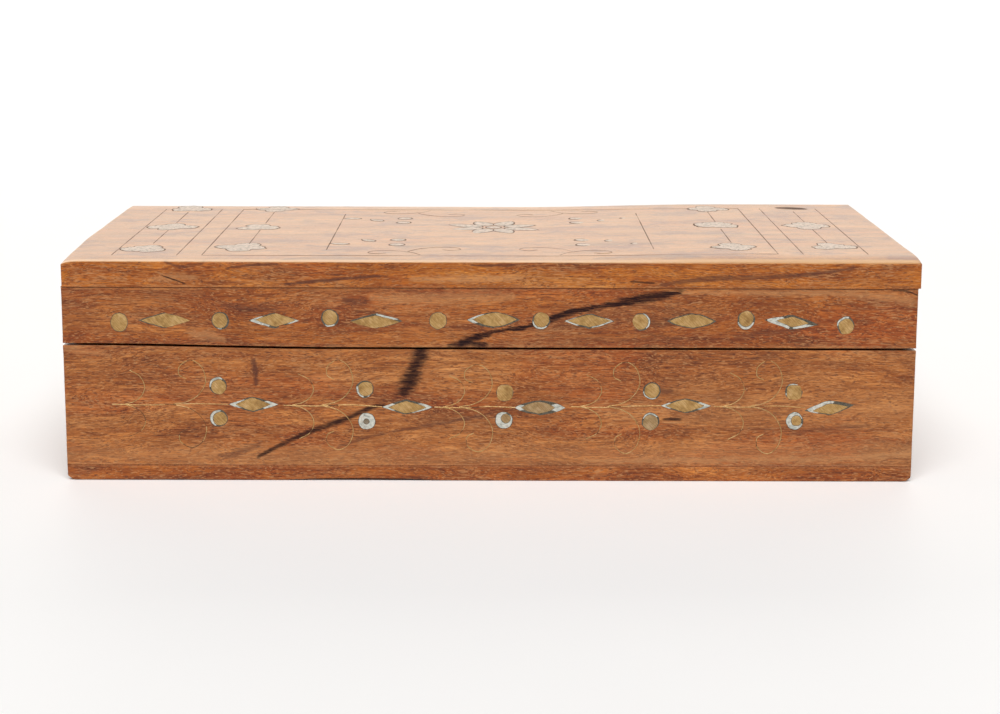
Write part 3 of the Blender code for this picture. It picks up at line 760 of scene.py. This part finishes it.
# The curls of one scroll in millimetres: x from its dots or from the sprig's outermost point, z from its stem
CURL = [(-13.0, 0.1), (-9.2, 0.9), (-5.8, 3.0), (-3.6, 7.0), (-4.6, 11.6), (-7.8, 13.8), (-11.0, 12.0),
        (-11.2, 9.2), (-9.2, 8.0)]
SPRIG = [(-6.0, 0.1), (-3.4, 0.8), (-1.0, 2.6), (0.0, 5.4), (-1.3, 8.4), (-4.4, 10.2)]
SCROLLS = 5
FIRST_SPRIG_REACH = 9.9 * MM  # from a scroll's left end to its sprig's outermost point
SPRIG_REACH = 9.0 * MM
STEM_SWAY = 0.2 * MM
TIP_GAP = 1.2 * MM  # between the end of a stem and its lozenge
LEFT_LENGTH, LEFT_EVERY = 9, 22  # in points along a wire, of what is left of the broken curls


def front_point(x, z):
    return Vector((x, FRONT_Y + SURFACE, z))


def set_scroll(number):
    """The wires of one scroll on the base's front, between its CAD ends."""
    node = f"base_front_wire_scroll_{number}"
    low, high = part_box(node)
    dots_low, dots_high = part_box(f"base_front_upper_dot_{number}")
    dots_x = (dots_low.x + dots_high.x) / 2
    stem_z = (low.z + high.z) / 2
    tip_low, tip_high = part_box(f"base_front_lozenge_{number}")
    tip = Vector((tip_low.x - TIP_GAP, (tip_low.z + tip_high.z) / 2))
    stem = [Vector((low.x, stem_z)), Vector(((2 * low.x + tip.x) / 3, stem_z - STEM_SWAY)),
            Vector(((low.x + 2 * tip.x) / 3, stem_z + STEM_SWAY)), tip]
    sprig_x = low.x + (FIRST_SPRIG_REACH if number == 1 else SPRIG_REACH)
    whole, broken = [smooth_line(stem)], []
    for points, x in ((CURL, dots_x), (SPRIG, sprig_x)):
        for up in (1, -1):
            stretch = 1 + random.uniform(-0.06, 0.06)
            wide, tall = (2 - stretch) * MM, up * stretch * MM
            line = smooth_line([Vector((x + px * wide, stem_z + pz * tall)) for px, pz in points])
            worn_out = number == 1 and up < 0
            (broken if worn_out else whole).append(line)
    out = Vector((0, -1, 0))
    whole, broken = ([[front_point(p.x, p.y) for p in line] for line in lines] for lines in (whole, broken))
    every = whole + broken
    groove = wires(f"base_front_groove_{number}", every, "base", out, GROOVE, 0.6 * MM, 0.56 * MM, 0.02)
    starts = [(line, i) for line in broken for i in range(2, len(line) - LEFT_LENGTH, LEFT_EVERY)]
    left = [line[i:i + LEFT_LENGTH] for line, i in starts]
    scroll = wires(f"{node}_wire", whole + left, "base", out, WIRE, 0.2 * MM, 0.14 * MM, 0.06)
    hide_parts(node)


# ---- the lid's top

# Places on the lid's top are measured from its middle
END_LINE = 113.5 * MM  # the outermost lines, left and right
BAND_LINES = (86.5 * MM, 94.0 * MM)  # the double line between an end field and the middle field
FIELD_LINE = 50.0 * MM  # between the middle field and the fields beside it
FRONT_LINE = -54.0 * MM  # along the front, and the same along the back
ROWS = (-39.0 * MM, 9.0 * MM, 54.0 * MM)  # of the leaves
LEAF_COLUMNS = (75.0 * MM, 104.8 * MM)
LOST_LEAF = (LEAF_COLUMNS[1], ROWS[2])  # a knot in the wood is in its place
DOT_COLUMN = 29.0 * MM
DOT_ROWS = (20.5 * MM, 31.0 * MM)
TOP_DOT_RADIUS = 2.2 * MM
LEAF_RADIUS, LEAF_SPREAD = 7.4 * MM, 0.7 * MM
SMALL_LEAVES = ((36.5 * MM, 24 * MM, 40), (44 * MM, 30 * MM, 75))  # the last is the lean in degrees
BOSS_RADIUS = 2.3 * MM
PETALS = 8
PETAL_START = 4 * MM  # from the middle of the rosette
PETAL_LENGTHS, PETAL_WIDTH = (10.8 * MM, 11.8 * MM), 5.8 * MM
VINE_ROOTS = ((21 * MM, 52 * MM, 1), (25 * MM, 45 * MM, -1))  # the last is the way it leans
VINE = [(0, 0), (3.0, 5.0), (8.5, 8.5), (14.0, 8.0), (16.0, 4.5), (13.5, 2.0), (10.5, 3.5)]  # in millimetres


def top_point(x, y):
    return Vector((x, y, LID_HIGH.z - top_dip(x, y)))


def top_line(start, end, steps=60):
    places = [Vector(start).lerp(Vector(end), i / steps) for i in range(steps + 1)]
    return [top_point(place.x, place.y) for place in places]


def top_vine(x, y, flip_x, flip_y):
    shape = smooth_line([Vector((x + flip_x * px * MM, y + flip_y * py * MM)) for px, py in VINE], 5)
    return [top_point(p.x, p.y) for p in shape]


def lobed(size, lobes, depth, seed, turns=60):
    """A leaf's outline with round lobes, the first of them toward the back. size is its radius."""
    points = []
    for i in range(turns):
        angle = 2 * math.pi * i / turns
        lobe = abs(math.cos(lobes * (angle - math.pi / 2) / 2)) ** 0.8
        hand = 1 + 0.3 * waver(angle, 1.3, seed) + 0.12 * waver(angle, 4, seed)
        radius = size * (1 - depth * (1 - lobe)) * hand
        points.append(radius * toward(angle))
    return points


def petal(length, width):
    """A round-ended petal from the origin along +Y."""
    left, right = [], []
    for i in range(11):
        t = i / 10
        half = width / 2 * math.sin(math.pi * t**0.75) ** 0.7
        left.append(Vector((-half, length * t)))
        right.append(Vector((half, length * t)))
    return left + right[-2:0:-1]


def grown(outline, rim):
    """The outline moved outward from its middle by the rim."""
    middle = sum(outline, Vector((0, 0))) / len(outline)
    return [point + (point - middle).normalized() * rim for point in outline]


def inlay_top(pearl, glue, outline, x, y, degrees=0.0):
    """A piece of shell in the lid's top, in its slightly larger bed of glue."""
    add_plate(glue, grown(outline, TOP_GLUE_RIM), on_top(x, y, 0.4 * PROUD, degrees))
    add_plate(pearl, outline, on_top(x, y, PROUD, degrees))


def end_fields(lines, leaves):
    """The lines of the two fields at the lid's left and right, with the places of their leaves and stems."""
    for side in (-1, 1):
        lines.append(top_line((side * END_LINE, FRONT_LINE), (side * END_LINE, -FRONT_LINE)))
        for x in BAND_LINES:
            lines.append(top_line((side * x, FRONT_LINE), (side * x, -FRONT_LINE)))
        lines.append(top_line((side * FIELD_LINE, -42 * MM), (side * FIELD_LINE, 42 * MM)))
        for column in LEAF_COLUMNS:
            for number, row in enumerate(ROWS):
                if (side * column, row) != LOST_LEAF:
                    leaves.append((side * column, row))
                if number:
                    below = ROWS[number - 1] + 9 * MM
                    lines.append(top_line((side * column, below), (side * column, row - 8 * MM), 16))
    for y in (FRONT_LINE, -FRONT_LINE):
        lines.append(top_line((-BAND_LINES[0], y), (BAND_LINES[0], y)))


def middle_field(lines, pearl, glue):
    """The dots, small leaves and vines around the rosette, the same left and right, and front and back."""
    for side in (-1, 1):
        for way in (-1, 1):
            for x, y, turn in VINE_ROOTS:
                lines.append(top_vine(side * x, way * y, side * turn, -way))
            for y in DOT_ROWS:
                shape = rounded(TOP_DOT_RADIUS, TOP_DOT_RADIUS, 2, 32, 0.1, y * PER_MM)
                inlay_top(pearl, glue, shape, side * DOT_COLUMN, way * y)
            for x, y, lean in SMALL_LEAVES:
                inlay_top(pearl, glue, petal(6 * MM, 3 * MM), side * x, way * y, -side * lean)


def dress_lid():
    """The wires, leaves, dots and rosette on the lid's top."""
    lines, leaves, glue, pearl, middle = [], [], bmesh.new(), bmesh.new(), bmesh.new()
    end_fields(lines, leaves)
    for number, (x, y) in enumerate(leaves):
        size = LEAF_RADIUS + random.uniform(-1, 1) * LEAF_SPREAD
        x += random.uniform(-1.2, 1.2) * MM
        y += random.uniform(-2.0, 2.0) * MM
        shape = lobed(size, 3 if number % 2 else 4, 0.36, number)
        inlay_top(pearl, glue, shape, x, y, random.uniform(-20, 20))
    middle_field(lines, pearl, glue)
    boss_low, boss_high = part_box("lid_top_rosette_boss")
    boss = (boss_low + boss_high) / 2
    for number in range(PETALS):
        degrees = 360 * (number + 0.5) / PETALS
        start = Matrix.Rotation(math.radians(degrees), 2) @ Vector((0, PETAL_START))
        shape = petal(PETAL_LENGTHS[number % 2], PETAL_WIDTH)
        inlay_top(pearl, glue, shape, boss.x + start.x, boss.y + start.y, degrees)
    discs = ((glue, BOSS_RADIUS + TOP_GLUE_RIM, 0.4 * PROUD), (middle, BOSS_RADIUS, PROUD))
    for mesh, radius, proud in discs:
        add_plate(mesh, rounded(radius, radius, 2, 32), on_top(boss.x, boss.y, proud))
    boss_shell = finish_mesh(middle, "lid_top_rosette_middle", "lid", TOP_SHELL)
    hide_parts("lid_top_rosette_boss")
    finish_mesh(pearl, "lid_top_shell", "lid", TOP_SHELL)
    finish_mesh(glue, "lid_top_glue", "lid", TOP_GLUE)
    up = Vector((0, 0, 1))
    grooves = wires("lid_top_grooves", lines, "lid", up, TOP_GLUE, 0.45 * MM, 0.38 * MM, 0.12)
    wires("lid_top_wires", lines, "lid", up, WIRE, 0.22 * MM, 0.15 * MM, 0.35)


# ---- the wood's own marks


def level(depth):
    """The height in millimetres of a place this far below the worn front edge of the lid's top."""
    return (LID_HIGH.z - FRONT_EDGE_WORN) * PER_MM - depth


def streak(tint, strength, points, softness=0.7, ragged=0.5, upright=False):
    """A streak on the front. Its points are (x, depth, half width), or (depth, x, half width) if upright.

    Depth is measured down from the lid's top, and all of them are in millimetres.
    """

    def mask(graph):
        on_face = graph.between(graph.y, FRONT_Y * PER_MM + 4, FRONT_Y * PER_MM + 2)
        if upright:
            placed = sorted((level(depth), x, width) for depth, x, width in points)
            shape = mark(graph, graph.z, graph.x, placed, softness, ragged)
        else:
            placed = [(x, level(depth), width) for x, depth, width in points]
            shape = mark(graph, graph.x, graph.z, placed, softness, ragged)
        return graph.times(shape, on_face)

    return tint, strength, mask


def top_face(graph):
    return graph.between(graph.upward, 0.5, 0.9)


def top_fade_and_sheen(graph):
    """The whole of the lid's top, which light and hands have bleached. Its paleness is partly a painted
    sheen, standing in for the bright backdrop that the top mirrors.
    """
    patches = graph.noise(graph.place, (0.03, 0.07, 0.07), detail=4, roughness=0.6)
    return graph.times(top_face(graph), graph.between(patches, 0.35, 0.6, 0.5, 1.0))


def top_stain(graph):
    """Dark, dirty patches here and there on the lid's top."""
    place = graph.moved(graph.place, (50, 20, 10))
    patches = graph.noise(place, (0.055, 0.08, 0.1), detail=7, roughness=0.76)
    return graph.times(top_face(graph), graph.between(patches, 0.48, 0.62))


def patch(tint, strength, points, softness=0.9, ragged=2.5):
    """A patch on the lid's top. Its points are (x, y, half width) in millimetres."""

    def mask(graph):
        above = graph.between(graph.upward, 0.3, 0.8)
        return graph.times(mark(graph, graph.x, graph.y, points, softness, ragged), above)

    return tint, strength, mask


LID_PANEL_MARKS = [
    # Faded wood and painted sheen over the whole top, paler where the faces look up
    (BLEACHED_AND_SHEEN, 0.45, top_fade_and_sheen),
    (STAIN, 0.65, top_stain),
    # A pale strip along the front edge of the top: partly wear, partly a painted highlight of the light that
    # catches that edge
    patch(BLEACHED_AND_SHEEN, 1, [
        (-127, -64, 3), (-60, -64, 3.6), (0, -64, 2.8), (60, -64, 3.4), (127, -64, 2.6),
    ], 0.8, 0.8),
    streak(BROWN, 0.8, [(-78, 2.6, 0.3), (-70, 1.6, 0.5), (-62, 1.3, 0.3)]),
    streak(BROWN, 0.7, [(-96, 0.6, 0.3), (-90, 2, 0.6), (-84, 0.8, 0.4)]),
    streak(PALE, 0.5, [(-101, 6, 0.8), (-94, 5.2, 1.8), (-86, 5.6, 0.8)], 0.9, 1.2),
    streak(HEART, 0.9, [(-97, 4.6, 0.15), (-93, 6, 0.2), (-89.5, 7.3, 0.15)], 0.5, 0.2),
    streak(BROWN, 0.9, [(-61, 7.3, 0.4), (-50, 6.2, 0.7), (-40, 5.2, 0.5), (-30, 4.8, 0.3)]),
    streak(PALE, 0.6, [(-24, 5.6, 1), (-10, 5.6, 1.8), (4, 5.2, 1.4), (10, 5, 0.8)], 0.9, 1.4),
    streak(BROWN, 0.8, [(-6, 1.4, 0.3), (1, 1.5, 0.5), (8, 1.3, 0.3)]),
    streak(BROWN, 0.75, [(50, 7.2, 0.6), (64, 5.4, 1.1), (80, 4.8, 0.9), (94, 3.9, 0.8), (108, 1.8, 0.5)]),
    streak(HEART, 0.8, [(41, 6.2, 0.2), (45, 6.4, 0.35), (49, 6.6, 0.2)], 0.5, 0.2),
    patch(BROWN, 0.5, [(-62, -62, 2), (-54, -59, 4), (-46, -58, 5), (-36, -60, 2)]),
    patch(BROWN, 0.45, [(-52, -44, 2), (-46, -42, 4), (-38, -41, 2)]),
    patch(BROWN, 0.5, [(30, -60, 2), (40, -57, 4), (50, -56, 5), (64, -59, 2)]),
    patch(BROWN, 0.4, [(22, -33, 2), (40, -30, 5), (58, -32, 2)]),
    patch(BROWN, 0.4, [(-30, -36, 2), (-14, -33, 4), (4, -35, 2)]),
    patch(HEART, 0.9, [(99.5, 56, 1), (103, 55.5, 4.6), (107, 54.5, 5), (111, 53, 1.2)], 0.8, 1.2),
    patch(BROWN, 0.5, [(44, 64, 0.8), (66, 64.6, 1.4), (88, 64, 0.8)], 0.8, 0.8),
]
LID_FRONT_MARKS = [
    streak(HEART, 0.97, [
        (-9.5, 25, 1.6), (-4.5, 23.3, 1.9), (2, 21.4, 1), (12, 19.6, 0.8), (18.5, 17.3, 1.6), (22, 15.9, 1.5),
        (30, 14.2, 1.1), (40, 12.4, 1.7), (46, 11.1, 2.3), (51.5, 10.2, 1.8), (57.5, 8.9, 0.9),
    ], 0.75, 1),
    streak(HEART, 0.85, [(-13, 25.8, 0.7), (-7, 25.2, 2), (0, 25.6, 0.8)], 0.8, 1),
    streak(BROWN, 0.6, [(-44, 11.5, 1.2), (-40, 12.5, 2.2), (-36, 12, 1)], 0.9, 1.2),
    streak(BROWN, 0.55, [(-80, 13.4, 0.8), (-72, 14.4, 1.2), (-60, 15.6, 0.8)], 0.9, 1.2),
    streak(BROWN, 0.6, [(72, 23.2, 0.6), (80, 21.6, 1.2), (90, 20.8, 0.7), (98, 18.6, 0.5)], 0.9, 1),
    streak(PALE, 0.45, [(-36, 11, 1.5), (-20, 11.5, 2.8), (-4, 11, 2.6), (8, 11, 1.4)], 0.9, 1.8),
    streak(PALE, 0.5, [(56, 9.3, 0.8), (80, 9.6, 1.2), (110, 10, 1.8), (126, 12, 2.5)], 0.9, 1.2),
    streak(PALE, 0.5, [(-90, 22, 1.5), (-84, 22.5, 2.5), (-78, 24, 1.5)], 0.9, 1.5),
    streak(HEART, 0.8, [(119, 8.7, 0.15), (123, 8.9, 0.3), (127, 10.4, 0.2)], 0.5, 0.2),
]
BASE_FRONT_MARKS = [
    streak(PALE, 0.30, [(-128, 59, 5), (-40, 60, 6), (40, 59, 6), (128, 58, 7)], 1, 4),
    streak(PALE, 0.16, [(30, 46, 2), (80, 46, 9), (128, 44, 9)], 1, 4),
    streak(BROWN, 0.85, [(29, -70.5, 0.8), (33, -69.8, 1.2), (38.5, -69.6, 0.8)], 0.9, 0.9, True),
    streak(HEART, 0.95, [
        (25, -20, 2.6), (28, -20.8, 4), (31.5, -21.8, 3.6), (35, -23.4, 4.4), (38, -24.4, 4.6),
        (41.5, -26.8, 2.4),
    ], 0.85, 2.2, True),
    streak(HEART, 0.9, [
        (-70, 60, 0.7), (-59, 54.3, 1.2), (-48, 49.8, 1.3), (-42, 47.6, 1.3), (-37, 45.2, 1.2),
        (-31, 43.6, 0.9),
    ], 0.8),
    streak(BROWN, 0.6, [(-82, 60, 1), (-74, 58, 1.6), (-68, 55, 1)], 0.9, 1.2),
    streak(BROWN, 0.7, [(-30, 52, 0.5), (-20, 50.3, 0.8), (-10, 48.4, 0.8), (1, 46.2, 0.4)], 0.9, 0.8),
    streak(BROWN, 0.6, [(-46, 57, 0.5), (-38, 54, 0.8), (-30, 52, 0.4)], 0.9, 0.8),
    streak(BROWN, 0.7, [(50, 38.5, 0.8), (52.5, 39.2, 1.4), (55, 39, 0.6)], 0.9, 0.6),
    streak(HEART, 0.8, [(51.5, 47.9, 0.35), (54.5, 47.9, 0.5), (57.6, 47.8, 0.4)], 0.4, 0.2),
    streak(PALE, 0.7, [(51.5, 48.7, 0.2), (55, 48.9, 0.25), (57.6, 48.8, 0.2)], 0.4, 0.2),
    streak(HEART, 0.8, [(-88.2, 31, 0.3), (-87.8, 31, 0.5), (-87.2, 31, 0.3)], 0.6, 0.2),
    streak(BROWN, 0.6, [(77, 29.4, 0.4), (83, 28.8, 0.8), (88, 29.4, 0.4)], 0.9, 0.6),
    streak(BROWN, 0.45, [(88, 52.5, 0.6), (100, 50.8, 1.2), (114, 49.5, 0.6)], 0.9, 1),
    streak(PALE, 0.5, [(28, 60.6, 1), (70, 60.4, 1.4), (100, 60, 1.6), (127, 58, 1.4)], 0.9, 1.2),
    streak(PALE, 0.4, [(-127, 27, 0.8), (-122, 27.5, 1.4), (-112, 29, 0.8)], 0.9, 1.2),
]

GLUE = filler("grey_glue", (0.105, 0.092, 0.070))
JOINT = filler("joint_glue", (0.30, 0.105, 0.042))
GROOVE = filler("groove_dirt", (0.10, 0.055, 0.030))
TOP_GLUE = filler("lid_top_glue", (0.13, 0.074, 0.050), 0.6)
SHELL = shell("shell", (0.80, 0.78, 0.75), 0.35)
TOP_SHELL = shell("lid_top_shell", (0.94, 0.72, 0.63), 0.5, 0.9)
BRIGHT_BRASSES = [inlay_brass(f"inlay_brass_{i}", i, 0.0) for i in range(3)]
BRASSES = {"dull": inlay_brass("inlay_brass_dull", 5, 0.6), "grey": inlay_brass("inlay_brass_grey", 6, 1.5)}
WIRE = inlay_brass("wire_brass", 8, 0.2)
HINGE_BRASS = inlay_brass("hinge_brass", 9, 0.3)

X, Y, Z = range(3)
LOWER, UPPER = -1, 1


def build_boards():
    panel = wood("lid_panel_wood", "lid_top_panel", 1, tones=ORANGE_TONES, marks=LID_PANEL_MARKS)
    board("lid_top_panel", "lid", panel, {(Z, LOWER)}, lid_panel_shape, 0.4)
    floor = wood("floor_panel_wood", "base_floor_panel", 4)
    board("base_floor_panel", "base", floor, {(Z, UPPER)}, floor_shape)
    marks = {"lid": LID_FRONT_MARKS, "base": BASE_FRONT_MARKS}
    tones = {"lid": RED_TONES, "base": TAN_TONES}
    for part, seam in (("lid", (Z, UPPER)), ("base", (Z, LOWER))):
        front = wood(f"{part}_front_wood", f"{part}_front_board", 2, tones=tones[part], marks=marks[part])
        board(f"{part}_front_board", part, front, {seam})
        for seed, side in enumerate(("left", "right"), 5):
            node = f"{part}_{side}_board"
            board(node, part, wood(f"{part}_{side}_wood", node, seed, "y"), {seam, (Y, LOWER), (Y, UPPER)})
        back = f"{part}_back_board"
        paint(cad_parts[back], wood(f"{part}_back_wood", back, 7))
    for name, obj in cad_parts.items():
        if "_hinge_" in name:
            paint(obj, HINGE_BRASS)


def build_joints():
    """Glue in the joints between the panels and the walls."""
    inset = Vector((JOINT_INSET, JOINT_INSET, 0))
    seams = (("lid", LID_FRONT_HIGH.z, LID_LOW.z), ("base", FLOOR_HIGH.z, BASE_FRONT_LOW.z))
    for part, below, above in seams:
        mesh = bmesh.new()
        for side in ("front", "back", "left", "right"):
            low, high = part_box(f"{part}_{side}_board")
            low.z, high.z = below, above
            add_bar(mesh, low + inset, high - inset)
        finish_mesh(mesh, f"{part}_joint", part, JOINT)


def names(pattern, count):
    return [pattern.format(i + 1) for i in range(count)]


def build_inlay():
    set_row(names("lid_front_dot_{}", 8), LID_DOTS, "lid", 1.0)
    set_row(names("lid_front_lozenge_{}", 7), LID_LOZENGES, "lid", 2.0)
    set_row(names("base_front_upper_dot_{}", 5), BASE_UPPER_DOTS, "base", 3.0)
    set_row(names("base_front_lower_dot_{}", 5), BASE_LOWER_DOTS, "base", 4.0)
    set_row(names("base_front_lozenge_{}", 5), BASE_LOZENGES, "base", 5.0)
    for number in range(1, SCROLLS + 1):
        set_scroll(number)
    dress_lid()


# ---- the studio

CAMERA = Vector((1.4, -677.6, 160.3)) * MM
PITCH = math.radians(90 - 11.303)
YAW = math.radians(-0.155)
ROLL = math.radians(0.175)
SENSOR = 36.0
LENS = 2.1 * SENSOR  # the lens sees one part in 2.1 of its distance across the picture's width
FLOOR_SIZE = 30  # metres each way from the box
AMBIENT = 0.16
SUN_POWER = 3.1
SUN_HEIGHT = math.radians(56)
SUN_SOFTNESS = math.radians(50)
BACKDROP_PLACE = Vector((0, 5.0, 1.5))  # the bright backdrop behind the box is what the lid's top mirrors
BACKDROP_SIZE = (9.0, 3.0)
BACKDROP_POWER = 140
BACKDROP_TINT = (1.0, 0.915, 0.81)


def new_lamp(name, kind, power):
    lamp = bpy.data.lights.new(name, kind)
    lamp.energy = power
    return new_object(name, lamp)


def build_studio():
    data = bpy.data.cameras.new("camera")
    data.lens = LENS
    data.sensor_width = SENSOR
    data.clip_start = 0.01
    camera = new_object("camera", data)
    turn = Matrix.Rotation(YAW, 4, "Z") @ Matrix.Rotation(PITCH, 4, "X") @ Matrix.Rotation(ROLL, 4, "Z")
    camera.matrix_world = Matrix.Translation(CAMERA) @ turn
    bpy.context.scene.camera = camera

    mesh = bmesh.new()
    bmesh.ops.create_grid(mesh, x_segments=1, y_segments=1, size=FLOOR_SIZE)
    data = bpy.data.meshes.new("floor")
    mesh.to_mesh(data)
    mesh.free()
    floor = paint(new_object("floor", data), floor_material())

    world = bpy.data.worlds.new("studio")
    world.use_nodes = True
    background = world.node_tree.nodes["Background"].inputs
    background["Color"].default_value = (1, 1, 1, 1)
    background["Strength"].default_value = AMBIENT
    bpy.context.scene.world = world

    sun = new_lamp("sun", "SUN", SUN_POWER)
    sun.data.angle = SUN_SOFTNESS
    sun.rotation_euler = (math.pi / 2 - SUN_HEIGHT, 0, 0)

    backdrop = new_lamp("backdrop", "AREA", BACKDROP_POWER)
    backdrop.data.shape = "RECTANGLE"
    backdrop.data.size, backdrop.data.size_y = BACKDROP_SIZE
    backdrop.data.color = BACKDROP_TINT
    backdrop.location = BACKDROP_PLACE
    backdrop.rotation_euler = (-BACKDROP_PLACE).to_track_quat("-Z", "Y").to_euler()
    bpy.context.scene.view_settings.view_transform = "Standard"


def floor_material():
    """A matte white table."""
    graph = Graph("floor_white")
    mottle = graph.noise(graph.place, (0.01, 0.01, 0.01), detail=3)
    colour = graph.ramp(mottle, [(0.3, (0.92, 0.915, 0.91)), (0.7, (0.93, 0.925, 0.92))])
    return graph.finish(colour, 0.6, specular=0.3)


build_boards()
build_joints()
build_inlay()
build_studio()
